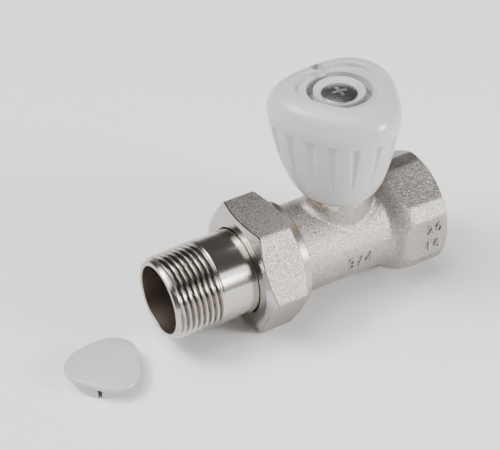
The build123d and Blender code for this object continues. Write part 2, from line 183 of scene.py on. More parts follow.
def pipeRod(radius, low, high, lift):
    # a plain closed cylinder along the pipe, raised off the pipe's axis
    rows = [(low, 0), (low, radius), (high, radius), (high, 0)]
    tool = turned("tool", rows, ringAngles(toolColumns))
    tool.data.transform(Matrix.Translation(Vector((0, 0, lift)) * mm))
    return tool


def stemTool(rows):
    return turned("tool", rows, ringAngles(toolColumns), "stem")


def block(size, matrix):
    # a box about its own middle, put in place by the matrix
    ends = (-0.5, 0.5)
    tool = newObject("tool", [(x, y, z) for x in ends for y in ends for z in ends],
                     [(0, 1, 3, 2), (4, 6, 7, 5), (0, 4, 5, 1),
                      (2, 3, 7, 6), (0, 2, 6, 4), (1, 5, 7, 3)])
    tool.data.transform(Matrix.Scale(mm, 4) @ matrix @ Matrix.Diagonal((*size, 1)))
    return tidyMesh(tool)


def stemPlace(z, turn, away=0.0):
    # a place on the stem's axis, turned round it and moved outwards
    return (Matrix.Translation((stemX, 0, z)) @ Matrix.Rotation(radians(turn), 4, "Z")
            @ Matrix.Translation((away, 0, 0)))


def smoothed(obj, sharpAbove=35):
    obj.data.shade_smooth()
    obj.data.set_sharp_from_angle(angle=radians(sharpAbove))


def paint(obj, materials, rule=None):
    # rule(middles, normals) in millimetres gives every face its material's number
    obj.data.materials.clear()
    for material in materials:
        obj.data.materials.append(material)
    count = len(obj.data.polygons)
    numbers = np.zeros(count, np.int32)
    if rule:
        middles, normals = np.empty(count * 3), np.empty(count * 3)
        obj.data.polygons.foreach_get("center", middles)
        obj.data.polygons.foreach_get("normal", normals)
        numbers = rule(middles.reshape(-1, 3) / mm, normals.reshape(-1, 3)).astype(np.int32)
    obj.data.polygons.foreach_set("material_index", numbers)
    obj.data.update()


def roundPipe(middles, normals):
    # each face's distance from the pipe's axis, and 1 where it faces away from it, -1 towards it
    radius = np.hypot(middles[:, 1], middles[:, 2])
    outward = middles[:, 1] * normals[:, 1] + middles[:, 2] * normals[:, 2]
    return radius, outward / np.maximum(radius, 0.1)


def addPiece(obj, body, slot, *nodes):
    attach(obj, body)
    if nodes:
        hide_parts(*nodes)
    obj.data.calc_loop_triangles()
    print("made", obj.name, len(obj.data.loop_triangles), "triangles")


# node helpers for materials and geometry
class NodeDesk:
    # lays nodes into a tree and joins their sockets
    def __init__(self, tree, material=None):
        self.tree, self.material = tree, material

    def add(self, kind, inputs=None, **settings):
        node = self.tree.nodes.new(kind)
        for key, value in settings.items():
            setattr(node, key, value)
        for key, value in (inputs or {}).items():
            self.put(node.inputs[key], value)
        return node

    def out(self, kind, inputs=None, **settings):
        return self.add(kind, inputs, **settings).outputs[0]

    def put(self, socket, value):
        if isinstance(value, bpy.types.NodeSocket):
            self.tree.links.new(value, socket)
        else:
            socket.default_value = value

    def math(self, operation, *values):
        inputs = dict(enumerate(values))
        return self.out("ShaderNodeMath", inputs, operation=operation)

    def plus(self, a, b):
        return self.math("ADD", a, b)

    def minus(self, a, b):
        return self.math("SUBTRACT", a, b)

    def times(self, a, b):
        return self.math("MULTIPLY", a, b)

    def over(self, a, b):
        return self.math("DIVIDE", a, b)

    def length(self, a, b):
        return self.math("SQRT", self.plus(self.times(a, a), self.times(b, b)))

    def between(self, value, low, high):
        # 1 where the value lies between the two, nought elsewhere
        above = self.math("GREATER_THAN", value, low)
        return self.times(above, self.math("LESS_THAN", value, high))

    def ramp(self, value, low, high, toLow=0.0, toHigh=1.0, kind="SMOOTHSTEP"):
        inputs = {"Value": value, "From Min": low, "From Max": high}
        inputs.update({"To Min": toLow, "To Max": toHigh})
        return self.out("ShaderNodeMapRange", inputs, interpolation_type=kind)

    def noise(self, scale, detail=2.0, **inputs):
        inputs = {"Scale": scale, "Detail": detail, **inputs}
        return self.add("ShaderNodeTexNoise", inputs).outputs["Fac"]

    def mixed(self, factor, low, high):
        return self.add("ShaderNodeMix", {0: factor, 6: low, 7: high}, data_type="RGBA").outputs[2]

    def bump(self, height, strength, distance):
        inputs = {"Height": height, "Strength": strength, "Distance": distance}
        return self.out("ShaderNodeBump", inputs)

    def attribute(self, name):
        kind = "GeometryNodeInputNamedAttribute"
        return self.out(kind, {"Name": name}, data_type="FLOAT")

    def parts(self, vector):
        return self.add("ShaderNodeSeparateXYZ", {"Vector": vector}).outputs


def newMaterial(name):
    material = bpy.data.materials.new(name)
    material.use_nodes = True
    desk = NodeDesk(material.node_tree, material)
    return desk, desk.add("ShaderNodeTexCoord").outputs["Object"]


def finish(desk, colour, roughness, relief, metallic, **constants):
    # relief is the bump's height, strength and distance
    shader = desk.tree.nodes["Principled BSDF"]
    desk.put(shader.inputs["Base Color"], colour)
    desk.put(shader.inputs["Roughness"], roughness)
    desk.put(shader.inputs["Normal"], desk.bump(*relief))
    shader.inputs["Metallic"].default_value = metallic
    for key, value in constants.items():
        shader.inputs[key.replace("_", " ")].default_value = value
    return desk.material


noiseLow, noiseHigh = 0.3, 0.7  # most of a noise's values lie between these

forgedNickel = {
    "colour": (0.49, 0.458, 0.425, 1), "darker": (0.15, 0.135, 0.12, 1),
    "roughLow": 0.26, "roughHigh": 0.40, "grainSize": 2400.0, "grainRough": 0.6,
    "grainHeight": 0.00022, "pitSize": 3600.0, "pitEdge": 0.55, "pitHeight": 0.5,
}


def makeForgedNickel():
    # nickel over a sand-blasted forging: a fine even grain that sparkles
    s = forgedNickel
    desk, place = newMaterial("forgedNickel")
    grain = desk.noise(s["grainSize"], Vector=place, Roughness=s["grainRough"])
    pits = desk.noise(s["pitSize"], 1.0, Vector=place)
    colour = desk.mixed(desk.ramp(pits, noiseLow, s["pitEdge"]), s["darker"], s["colour"])
    roughness = desk.ramp(grain, noiseLow, noiseHigh, s["roughHigh"], s["roughLow"])
    height = desk.plus(grain, desk.times(pits, s["pitHeight"]))
    return finish(desk, colour, roughness, (height, 1.0, s["grainHeight"]), 1.0)


turnedNickel = {
    "colour": (0.47, 0.45, 0.425, 1), "colourWarm": (0.42, 0.345, 0.245, 1),
    # the bore colours are darker than the outside: painted shade inside the bores
    "bore": (0.36, 0.31, 0.27, 1), "boreWarm": (0.32, 0.24, 0.16, 1),
    "root": (0.10, 0.085, 0.07, 1), "rootFrom": 0.4, "rootMost": 0.8,
    "grooveCount": 5200.0, "grooveHeight": 0.000008, "grooveStrength": 0.6,
    "cloudSize": 160.0, "cloudFrom": 0.35,
}
turnedKinds = {  # base colour, warmth, lowest and highest roughness
    "turnedNickel": ("colour", 0.25, 0.13, 0.22),
    "turnedNickelWarm": ("colour", 1.0, 0.24, 0.36),
    "boreNickel": ("bore", 0.6, 0.30, 0.42),
}


def makeTurnedNickel(name):
    # nickel over turned brass: fine tool rings round the pipe axis, with painted shade darkening the
    # threads' roots
    s = turnedNickel
    base, warmth, roughLow, roughHigh = turnedKinds[name]
    desk, place = newMaterial(name)
    parts = desk.parts(place)
    radius = desk.length(parts["Y"], parts["Z"])
    ring = desk.times(desk.plus(parts["X"], radius), s["grooveCount"])
    groove = desk.add("ShaderNodeTexNoise", {"Scale": 1.0, "Detail": 2.0}, noise_dimensions="1D")
    desk.put(groove.inputs["W"], ring)
    groove = groove.outputs["Fac"]
    cloud = desk.noise(s["cloudSize"], 3.0, Vector=place)
    tint = desk.times(desk.ramp(cloud, s["cloudFrom"], noiseHigh), warmth)
    colour = desk.mixed(tint, s[base], s[base + "Warm"])
    # the threads' roots are darkened by their depth: painted shade
    root = desk.add("ShaderNodeAttribute", attribute_name="rootDepth").outputs["Fac"]
    colour = desk.mixed(desk.ramp(root, s["rootFrom"], 1.0, 0.0, s["rootMost"]), colour, s["root"])
    roughness = desk.ramp(groove, noiseLow, noiseHigh, roughLow, roughHigh)
    relief = (groove, s["grooveStrength"], s["grooveHeight"])
    return finish(desk, colour, roughness, relief, 1.0)


whitePlastic = {
    "colour": (0.53, 0.533, 0.537, 1), "shade": (0.49, 0.493, 0.497, 1),
    "roughLow": 0.22, "roughHigh": 0.28, "flowSize": 90.0, "skinSize": 3500.0,
    "skinHeight": 0.000006, "skinStrength": 0.5, "glow": 0.1, "glowReach": 0.0015,
}


def makeWhitePlastic():
    # satin moulded plastic with a faint flow mottling
    s = whitePlastic
    desk, place = newMaterial("whitePlastic")
    flow = desk.noise(s["flowSize"], Vector=place)
    skin = desk.noise(s["skinSize"], 1.0, Vector=place)
    colour = desk.mixed(flow, s["shade"], s["colour"])
    roughness = desk.ramp(flow, noiseLow, noiseHigh, s["roughLow"], s["roughHigh"])
    relief = (skin, s["skinStrength"], s["skinHeight"])
    return finish(desk, colour, roughness, relief, 0.0,
                  Subsurface_Weight=s["glow"], Subsurface_Scale=s["glowReach"])


smallParts = {  # colour, roughness, metallic, skin size, skin height
    "screwSteel": ((0.39, 0.39, 0.4, 1), 0.28, 1.0, 2600.0, 0.000012),
    "bareBrass": ((0.72, 0.55, 0.28, 1), 0.30, 1.0, 3000.0, 0.00001),
    "sealRubber": ((0.02, 0.02, 0.022, 1), 0.60, 0.0, 3000.0, 0.00001),
    "slipPlastic": ((0.80, 0.79, 0.74, 1), 0.45, 0.0, 3000.0, 0.00001),
    "edgeShade": ((0.05, 0.043, 0.036, 1), 0.45, 1.0, 3000.0, 0.00001),
    # the next colour is a painted highlight on the walls of the screw's cross recess
    "crossSteel": ((0.62, 0.62, 0.63, 1), 0.34, 0.7, 2600.0, 0.00004),
}
smallLook = {
    "cloudSize": 400.0, "cloudShade": 0.82, "roughFrom": 0.85, "roughTo": 1.15, "strength": 0.6,
}


def makeSmall(name):
    # small and hidden pieces: one colour, clouded, with a fine skin
    s = smallLook
    high, rough, metallic, skinSize, skinHeight = smallParts[name]
    desk, place = newMaterial(name)
    skin = desk.noise(skinSize, 1.0, Vector=place)
    low = tuple(c * s["cloudShade"] for c in high[:3]) + (1,)
    colour = desk.mixed(desk.noise(s["cloudSize"], Vector=place), low, high)
    roughness = desk.ramp(skin, noiseLow, noiseHigh, rough * s["roughFrom"], rough * s["roughTo"])
    return finish(desk, colour, roughness, (skin, s["strength"], skinHeight), metallic)


forged = makeForgedNickel()
turnedBright, turnedWarm, boreNickel = (makeTurnedNickel(name) for name in turnedKinds)
plastic = makeWhitePlastic()
small = {name: makeSmall(name) for name in smallParts}
print("materials ready")


# geometry trees for the threads and the flutes
def geometryTree(name, labels):
    # starts a tree with a mesh in, a mesh out and named number inputs
    tree = bpy.data.node_groups.new(name, "GeometryNodeTree")
    numbers = [(label, "INPUT", "Float") for label in labels.split()]
    sockets = [("Geometry", "INPUT", "Geometry"), *numbers, ("Material", "INPUT", "Material"),
               ("Geometry", "OUTPUT", "Geometry")]
    for label, side, kind in sockets:
        tree.interface.new_socket(label, in_out=side, socket_type="NodeSocket" + kind)
    desk = NodeDesk(tree)
    given = desk.add("NodeGroupInput").outputs
    return desk, given, desk.parts(desk.out("GeometryNodeInputPosition"))


def moveOut(desk, given, way, push, depth):
    # pushes every point along its way, keeps its depth for the materials and closes the tree
    deepest = desk.math("MAXIMUM", desk.attribute("rootDepth"), depth)
    inputs = {"Geometry": given["Geometry"], "Name": "rootDepth", "Value": deepest}
    kept = desk.out("GeometryNodeStoreNamedAttribute", inputs, data_type="FLOAT", domain="POINT")
    flat = desk.out("ShaderNodeCombineXYZ", dict(zip("XYZ", way)))
    outward = desk.out("ShaderNodeVectorMath", {0: flat}, operation="NORMALIZE")
    offset = desk.out("ShaderNodeVectorMath", {0: outward, "Scale": push}, operation="SCALE")
    moved = desk.out("GeometryNodeSetPosition", {"Geometry": kept, "Offset": offset})
    real = desk.out("GeometryNodeRealizeInstances", {"Geometry": moved})
    inputs = {"Geometry": real, "Material": given["Material"]}
    dressed = desk.out("GeometryNodeSetMaterial", inputs)
    desk.add("NodeGroupOutput", {"Geometry": dressed})
    return desk.tree


grooveForm = {"flat": 0.08, "straight": 0.55, "round": 0.45}  # a thread's section


def makeThreadTree():
    # rolls a right-hand thread into a turned surface round the pipe axis; Side is 1
    # outside and -1 in a bore, and only points between LowRadius and HighRadius move
    s = grooveForm
    labels = "Pitch Depth Crest Taper Start End Fade Side LowRadius HighRadius"
    desk, given, parts = geometryTree("screwThread", labels)
    plus, minus, times, over = desk.plus, desk.minus, desk.times, desk.over
    start, end, fade = given["Start"], given["End"], given["Fade"]
    along, radius = parts["X"], desk.length(parts["Y"], parts["Z"])
    angle = over(desk.math("ARCTAN2", parts["Z"], parts["Y"]), 2 * pi)
    phase = minus(over(along, given["Pitch"]), angle)
    saw = times(desk.math("FRACT", phase), 2.0)
    tooth = desk.math("ABSOLUTE", minus(saw, 1.0))
    flanks = desk.ramp(tooth, s["flat"], 1.0 - s["flat"], 0.0, 1.0, "LINEAR")
    waves = desk.ramp(tooth, 0.0, 1.0)
    groove = plus(times(flanks, s["straight"]), times(waves, s["round"]))
    rise = desk.ramp(along, start, plus(start, fade))
    fall = desk.ramp(along, minus(end, fade), end, 1.0, 0.0)
    deep = times(times(rise, fall), times(groove, given["Depth"]))
    slope = times(given["Taper"], minus(along, start))
    proud = minus(radius, plus(given["Crest"], slope))
    cut = desk.math("MAXIMUM", plus(times(proud, given["Side"]), deep), 0.0)
    touched = times(desk.between(along, start, end),
                    desk.between(radius, given["LowRadius"], given["HighRadius"]))
    push = times(times(cut, touched), times(given["Side"], -1.0))
    depth = times(over(cut, given["Depth"]), touched)
    return moveOut(desk, given, (0.0, parts["Y"], parts["Z"]), push, depth)


def makeFluteTree():
    # presses tapering flutes into the handwheel's skirt; "level" is the height on the
    # skirt that each flute starts and ends at, and is nought off the skirt
    labels = "Count Start Turn Lobe Bottom Top LowWidth TopWidth LowDepth TopDepth StemX"
    desk, given, parts = geometryTree("skirtFlutes", labels)
    plus, minus, times, over = desk.plus, desk.minus, desk.times, desk.over
    level = desk.attribute("level")
    bottom, top = given["Bottom"], given["Top"]
    away = minus(parts["X"], given["StemX"])
    radius = desk.length(away, parts["Y"])
    turn = minus(desk.math("ARCTAN2", parts["Y"], away), given["Turn"])
    # evenly spaced along the lobed outline, so closer in angle on a lobe
    sway = times(over(given["Lobe"], 3.0), desk.math("SINE", times(turn, 3.0)))
    reach = over(minus(plus(turn, sway), given["Start"]), 2 * pi)
    step = desk.math("FRACT", plus(times(reach, given["Count"]), 0.5))
    middle = over(minus(step, 0.5), given["Count"])
    aside = times(desk.math("ABSOLUTE", middle), times(radius, 2 * pi))
    width = desk.ramp(level, bottom, top, given["LowWidth"], given["TopWidth"], "LINEAR")
    depth = desk.ramp(level, bottom, top, given["LowDepth"], given["TopDepth"], "LINEAR")
    ratio = desk.math("MINIMUM", over(aside, width), 1.0)
    hollow = minus(1.0, times(ratio, ratio))
    inward = times(desk.between(level, bottom, top), -1.0)
    push = times(times(hollow, depth), inward)
    return moveOut(desk, given, (away, parts["Y"], 0.0), push, 0.0)


def runTree(obj, tree, values):
    # sets the modifier's inputs by their identifiers, then bakes the result
    modifier = obj.modifiers.new(tree.name, "NODES")
    modifier.node_group = tree
    for item in tree.interface.items_tree:
        if item.in_out == "INPUT" and item.name in values:
            modifier[item.identifier] = values[item.name]
    return applied(obj)


def runThread(obj, sizes, material):
    values = {key: value if key in ("Taper", "Side") else value * mm
              for key, value in sizes.items()}
    values["Material"] = material
    return runTree(obj, threadTree, values)


threadTree = makeThreadTree()
fluteTree = makeFluteTree()
print("geometry trees ready")


# valve body: forged barrel, neck and inlet hexagon, turned union end and bores
bodyForm = {
    "barrel": 14.1, "columns": 288, "hexAcross": 34.5, "cutAcross": 37.0, "cutTurn": 22.43,
    "cornerSpread": (-1.6, -0.8, 0, 0.8, 1.6), "edgeRounding": 0.3, "runOutRounding": 0.25,
    "shoulderX": [-20.4, -19.2, -18.0, -16.8, -15.6, -14.4, -12.8, -10.8],
    "shoulderR": [14.1, 14.2, 15.1, 16.6, 17.6, 18.2, 18.7, 19.3],
    "shoulderStep": 0.3, "hexRows": (-10.4, -8, -5.6, -3.4),
    "mouthX": -1.8, "mouthCorner": 19.0, "mouthFace": 16.4, "mouthRows": (-2.4, -0.05, 0.2),
    "ringLeft": -52.1, "ringRight": -49.5, "ring": 16.6, "undercut": 1.4, "undercutWidth": 0.4,
    "spigotEnd": -59.3, "spigot": 15.75, "spigotBevel": 1.1, "spigotStep": 0.19,
    "outletFloor": -42.5, "outletBore": 10.5,
    "inletBore": 12.06, "inletDepth": 15.0, "inletBevel": 1.3, "inletStep": 0.13,
    "throat": 9.5, "throatDepth": 3.0,
    "smoothStrip": -47.9, "endFacing": 0.95, "mouthFrom": -0.3, "boreFacing": -0.2, "boreMost": 16,
}
neckForm = {
    "radius": 10.4, "top": 18.0, "edge": 0.35, "blend": 2.6, "sunk": 0.03,
    "columns": 144, "arcSteps": 10, "machinedAbove": 16.7,
}
inletThread = {
    "Pitch": 1.814, "Depth": 1.16, "Crest": 12.06, "Taper": 0.0, "Start": -15.0, "End": 0.2,
    "Fade": 1.0, "Side": -1.0, "LowRadius": 11.9, "HighRadius": 13.6,
}
spigotThread = {
    "Pitch": 2.309, "Depth": 1.3, "Crest": 15.75, "Taper": 0.0, "Start": -59.4, "End": -52.7,
    "Fade": 0.6, "Side": 1.0, "LowRadius": 14.0, "HighRadius": 16.0,
}


def makeValveBody():
    s = bodyForm
    mainNormals, cutNormals = range(0, 360, 60), range(30, 360, 60)
    corners = [normal + side * s["cutTurn"] for normal in mainNormals for side in (-1, 1)]
    angles = ringAngles(s["columns"], corners, s["cornerSpread"])
    hexagon = smoothMin(prismRadius(angles, s["hexAcross"], mainNormals),
                        prismRadius(angles, s["cutAcross"], cutNormals), s["edgeRounding"])

    def heldTo(limit):  # the hexagon where it is turned down to a round limit
        return smoothMin(hexagon, np.full(len(angles), limit), s["runOutRounding"])

    # union end: bore, threaded spigot, undercut, ring and barrel
    floorX, bore, barrel = s["outletFloor"], s["outletBore"], s["barrel"]
    endX, spigot, bevel = s["spigotEnd"], s["spigot"], s["spigotBevel"]
    left, right, ring = s["ringLeft"], s["ringRight"], s["ring"]
    cutX, cut = left - s["undercutWidth"], spigot - s["undercut"]
    rows = [(floorX, 0), (floorX, bore)]
    rows += roundedPath([(floorX - 1, bore, 0), (endX, bore, 0.3), (endX, spigot - bevel, 0.2),
                         (endX + bevel, spigot, 0)])
    rows += [(x, spigot) for x in np.arange(endX + bevel + 0.15, left - 0.5, s["spigotStep"])]
    rows += roundedPath([(cutX, spigot, 0), (cutX, cut, 0.1), (left, cut, 0.1), (left, ring, 0.3),
                         (right, ring, 0.35), (right, barrel, 0.5), (right + 3, barrel, 0)])
    rows += [(x, barrel) for x in np.arange(right + 4, s["shoulderX"][0] - 0.5, 1.5)]

    # shoulder, hexagon and bevelled mouth
    for x in np.arange(s["shoulderX"][0], s["shoulderX"][-1], s["shoulderStep"]):
        rows.append((x, heldTo(throughPoints(s["shoulderX"], s["shoulderR"], x))))
    rows += [(x, hexagon) for x in s["hexRows"]]
    face = s["mouthFace"]
    slope = (s["mouthCorner"] - face) / -s["mouthX"]
    rows += [(x, heldTo(face - x * slope)) for x in np.arange(*s["mouthRows"])]

    # inlet bore with its bevel, and the throat behind it
    inlet, bevel, deep, throat = s["inletBore"], s["inletBevel"], -s["inletDepth"], s["throat"]
    rows += roundedPath([(-0.15, face + 0.2, 0), (0, face - 0.1, 0), (0, inlet + bevel, 0.1),
                         (-bevel, inlet, 0)])
    rows += [(x, inlet) for x in np.arange(-bevel - 0.15, deep, -s["inletStep"])]
    rows += [(deep - 0.1, inlet), (deep - 0.1, throat),
             (deep - s["throatDepth"], throat), (deep - s["throatDepth"], 0)]
    body = turned("valveBody", rows, angles)
    runThread(body, inletThread, forged)
    runThread(body, spigotThread, forged)
    return body


def makeNeck():
    # the neck meets the barrel in a rolled fillet, found for every angle round the stem
    s, barrel = neckForm, bodyForm["barrel"]
    radius, top, edge, blend = s["radius"], s["top"], s["edge"], s["blend"]
    angles = ringAngles(s["columns"])

    def level(reach, z):
        height = np.broadcast_to(z, angles.shape)
        return np.stack([reach * np.cos(angles), reach * np.sin(angles), height], 1)

    # a ball rolls between the two, and touches the neck and the barrel
    ballZ = np.sqrt((barrel + blend) ** 2 - ((radius + blend) * np.sin(angles)) ** 2)
    ball, onNeck = level(radius + blend, ballZ), level(radius, ballZ)
    share = (barrel - s["sunk"]) / (barrel + blend)
    onBarrel = ball * (1, share, share)
    rings = [level(0, top), level(radius - edge, top), level(radius - 0.1, top - 0.1),
             level(radius, top - edge)]
    rings += [onNeck * down + rings[3] * (1 - down) for down in (0.35, 0.7)]
    start, end = onNeck - ball, onBarrel - ball
    lengthStart = np.linalg.norm(start, axis=1)[:, None]
    lengthEnd = np.linalg.norm(end, axis=1)[:, None]
    turn = np.arccos(np.clip((start * end).sum(1)[:, None] / lengthStart / lengthEnd, -1, 1))
    for step in range(s["arcSteps"] + 1):
        t = step / s["arcSteps"]
        rings.append(ball + (start * np.sin((1 - t) * turn) + end * np.sin(t * turn)) / np.sin(turn))
    # closed under the barrel's skin
    rings += [onBarrel * (1, 0.9, 0.9), onBarrel * (0.5, 0.4, 0.3),
              onBarrel * (0, 0, 0) + (0, 0, 2.0)]
    vertices = np.concatenate(rings) + (stemX, 0, 0)
    return tidyMesh(newObject("neck", vertices * mm, gridFaces(len(rings), len(angles), False)))


markForm = {
    "height": 0.5, "sunk": 0.4, "spacing": 1.35, "mergeBy": 1e-5,
    "nominal": {"text": "3/4", "size": 5.6, "x": -30.7, "turn": 186.0},
    "facet": [("20", 4.6, -5.6, 2.9), ("16", 4.6, -5.7, -3.1)],  # text, size, x, z
}


def letters(text, size, thickness):
    # plain raised figures as a closed mesh in millimetres, lying flat, and their middle
    curve = bpy.data.curves.new("figures", "FONT")
    curve.body, curve.size, curve.extrude = text, size, thickness / 2
    curve.space_character, curve.resolution_u = markForm["spacing"], 6
    curve.align_x, curve.align_y = "CENTER", "CENTER"
    obj = linked("figures", curve)
    figures = linked("figures", bakedMesh(obj))
    bpy.data.objects.remove(obj)
    points = np.array([v.co for v in figures.data.vertices])
    return tidyMesh(figures, markForm["mergeBy"]), Vector((points.max(0) + points.min(0)) / 2)


def addFigures(body, text, size, placed):
    # raises figures on the body; placed gives each of their points its place
    figures, middle = letters(text, size, markForm["height"] + markForm["sunk"])
    for vertex in figures.data.vertices:
        vertex.co = Vector(placed(*(vertex.co - middle))) * mm
    carve(body, figures, "UNION")


def addMarks(body):
    # the nominal size stands on the barrel, two pairs of figures on the front facet
    s, barrel, nominal = markForm, bodyForm["barrel"], markForm["nominal"]
    thick = s["height"] + s["sunk"]
    skin = barrel + s["height"] - thick / 2
    front = -bodyForm["hexAcross"] / 2 - s["height"] + thick / 2

    def roundBarrel(across, along, high):
        radius, angle = skin + high, radians(nominal["turn"]) - along / barrel
        return nominal["x"] + across, radius * cos(angle), radius * sin(angle)

    def onFacet(across, along, high):
        return x + across, front - high, z + along

    addFigures(body, nominal["text"], nominal["size"], roundBarrel)
    for text, size, x, z in s["facet"]:
        addFigures(body, text, size, onFacet)


passageForm = {
    "run": 5.2, "lower": -6.5, "upper": 4.8, "seatBore": 5.2, "seatTop": 2.3, "seatLip": 6.2,
    "chamber": 7.6, "chamberFloor": 1.5, "threadLow": 13.6, "neckBore": 8.0,
}


def boreBody(body):
    # the passages and the chamber are joined first and carved in one go
    s, b = passageForm, bodyForm
    floor, top, bottom, lip = s["chamberFloor"], neckForm["top"] + 1, s["lower"] - 3, s["seatTop"]
    hollow = stemTool([(lip, 0), (lip, s["seatLip"]), (floor, s["seatLip"]), (floor, s["chamber"]),
                       (s["threadLow"], s["chamber"]), (s["threadLow"], s["neckBore"]),
                       (top, s["neckBore"]), (top, 0)])
    upper = pipeRod(s["upper"], b["outletFloor"] - 0.5, stemX, floor + s["upper"])
    seat = stemTool([(bottom, 0), (bottom, s["seatBore"]), (lip + 0.1, s["seatBore"]),
                     (lip + 0.1, 0)])
    run = pipeRod(s["run"], stemX, -b["inletDepth"] - b["throatDepth"] + 0.5, s["lower"])
    for passage in (upper, seat, run):
        carve(hollow, passage, "UNION")
    carve(body, hollow)


def bodyFinish(middles, normals):
    # turned metal at the union end and the neck's top, a darker turned metal in the bores as painted
    # shade, forged elsewhere
    forgedFace, brightFace, warmFace, boreFace = range(4)
    s = bodyForm
    x, alongPipe = middles[:, 0], np.abs(normals[:, 0]) > s["endFacing"]
    radius, facing = roundPipe(middles, normals)
    fromStem = np.hypot(x - stemX, middles[:, 1])
    onNeck = (middles[:, 2] > neckForm["machinedAbove"]) & (fromStem < neckForm["radius"] + 0.02)
    inBore = (radius < s["inletBore"] + 0.1) & (x < s["mouthX"])
    number = np.full(len(x), forgedFace)
    number[x < s["smoothStrip"]] = warmFace
    number[alongPipe & (x > s["mouthFrom"])] = brightFace
    number[onNeck] = warmFace
    number[(facing < s["boreFacing"]) & (radius < s["boreMost"])] = boreFace
    number[alongPipe & inBore] = boreFace
    return number


body = makeValveBody()
carve(body, makeNeck(), "UNION")
addMarks(body)
boreBody(body)
paint(body, [forged, turnedBright, turnedWarm, boreNickel], bodyFinish)
smoothed(tidyMesh(body))
addPiece(body, "valve", "nickel_plated_brass", "valve_body")


# union nut
nutForm = {
    "across": 37.0, "front": -66.1, "rear": -52.5, "hole": 13.65, "face": 17.2, "frontSlope": 2.41,
    "rearFace": 18.0, "rearSlope": 2.1, "corner": 21.15, "cornerRounding": 0.25, "columns": 240,
    "cornerSpread": (-0.9, -0.45, -0.15, 0.15, 0.45, 0.9), "bore": 15.95, "boreFloor": -63.3,
    "boreStep": 0.18, "edgeLine": 0.33, "edgeFrom": 18.0,
}
nutThread = {
    "Pitch": 2.309, "Depth": 1.0, "Crest": 15.95, "Taper": 0.0, "Start": -62.6, "End": -52.0,
    "Fade": 0.8, "Side": -1.0, "LowRadius": 15.8, "HighRadius": 17.1,
}


def makeNut():
    s = nutForm
    front, rear, hole, bore, deep = s["front"], s["rear"], s["hole"], s["bore"], s["boreFloor"]
    face, frontSlope, rearFace, rearSlope = s["face"], s["frontSlope"], s["rearFace"], s["rearSlope"]
    angles = ringAngles(s["columns"], range(0, 360, 60), s["cornerSpread"])
    outer = smoothMin(prismRadius(angles, s["across"], range(30, 360, 60)),
                      np.full(len(angles), s["corner"]), s["cornerRounding"])
    frontX = front + (outer - face) / frontSlope  # where the flats meet the front cone
    rearX = rear - (outer - rearFace) / rearSlope  # and the rear one
    lipX, lip = front + 0.3, face + 0.3 * frontSlope
    rows = roundedPath([(front + 1, hole, 0), (front, hole, 0.25), (front, face, 0.12),
                        (lipX, lip, 0)])
    rows += [(frontX * share + lipX * (1 - share), outer * share + lip * (1 - share))
             for share in (0.33, 0.66, 0.9)]
    rows += [(frontX - 0.05, outer - 0.05 * frontSlope), (frontX + 0.06, outer)]
    flatX, flat = frontX + s["edgeLine"], rearX - frontX - s["edgeLine"] - 0.2
    rows += [(flatX + flat * share, outer) for share in (0, 0.25, 0.5, 0.75, 1)]
    rows += [(rearX - 0.06, outer), (rearX + 0.05, outer - 0.05 * rearSlope)]
    rows += [(rearX + (rear - rearX) * share, outer + (rearFace - outer) * share)
             for share in (0.5, 0.9)]
    rows += roundedPath([(rear, rearFace - 0.1, 0), (rear, bore + 1.0, 0.1), (rear - 1.0, bore, 0)])
    rows += [(x, bore) for x in np.arange(rear - 1.15, deep + 0.3, -s["boreStep"])]
    rows += roundedPath([(deep + 0.2, bore, 0), (deep, bore, 0), (deep, hole, 0.15),
                         (front + 1.1, hole, 0)])
    return runThread(turned("unionNut", rows, angles, loop=True), nutThread, forged)


def nutFinish(middles, normals):
    # forged flats with a painted shade line along their front edges, turned ends and thread
    forgedFace, brightFace, boreFace, shadeLineFace = range(4)
    s = nutForm
    radius, facing = roundPipe(middles, normals)
    number = np.full(len(middles), forgedFace)
    number[np.abs(normals[:, 0]) > 0.2] = brightFace
    # faces in the bore get the darker nickel: painted shade
    number[facing < -0.3] = boreFace
    # a narrow band behind the front bevel gets the near-black edgeShade colour: a painted shade line
    pastEdge = middles[:, 0] - s["front"] - (radius - s["face"]) / s["frontSlope"]
    onLine = (radius > s["edgeFrom"]) & (pastEdge < s["edgeLine"] - 0.02)
    number[(number == forgedFace) & onLine] = shadeLineFace
    number[(number == forgedFace) & (radius < s["bore"] + 1.05)] = boreFace
    return number


nut = makeNut()
paint(nut, [forged, turnedBright, boreNickel, small["edgeShade"]], nutFinish)
smoothed(nut)
addPiece(nut, "nut", "nickel_plated_brass", "union_nut")


# tailpiece: polished tube with a tapered pipe thread on its free end
tailForm = {
    "end": -93.0, "endFace": 12.0, "bore": 10.7, "threadEnd": -77.3, "plain": 13.35,
    "collarX": -63.3, "collar": 15.6, "sealX": -60.8, "columns": 300, "crest": 12.93,
    "bevelX": -91.05, "threadStep": 0.12, "boreRows": 8,
}
tailThread = {
    "Pitch": 1.814, "Depth": 1.16, "Crest": 12.93, "Taper": 0.031, "Start": -92.7, "End": -77.4,
    "Fade": 1.3, "Side": 1.0, "LowRadius": 11.5, "HighRadius": 14.0,
}


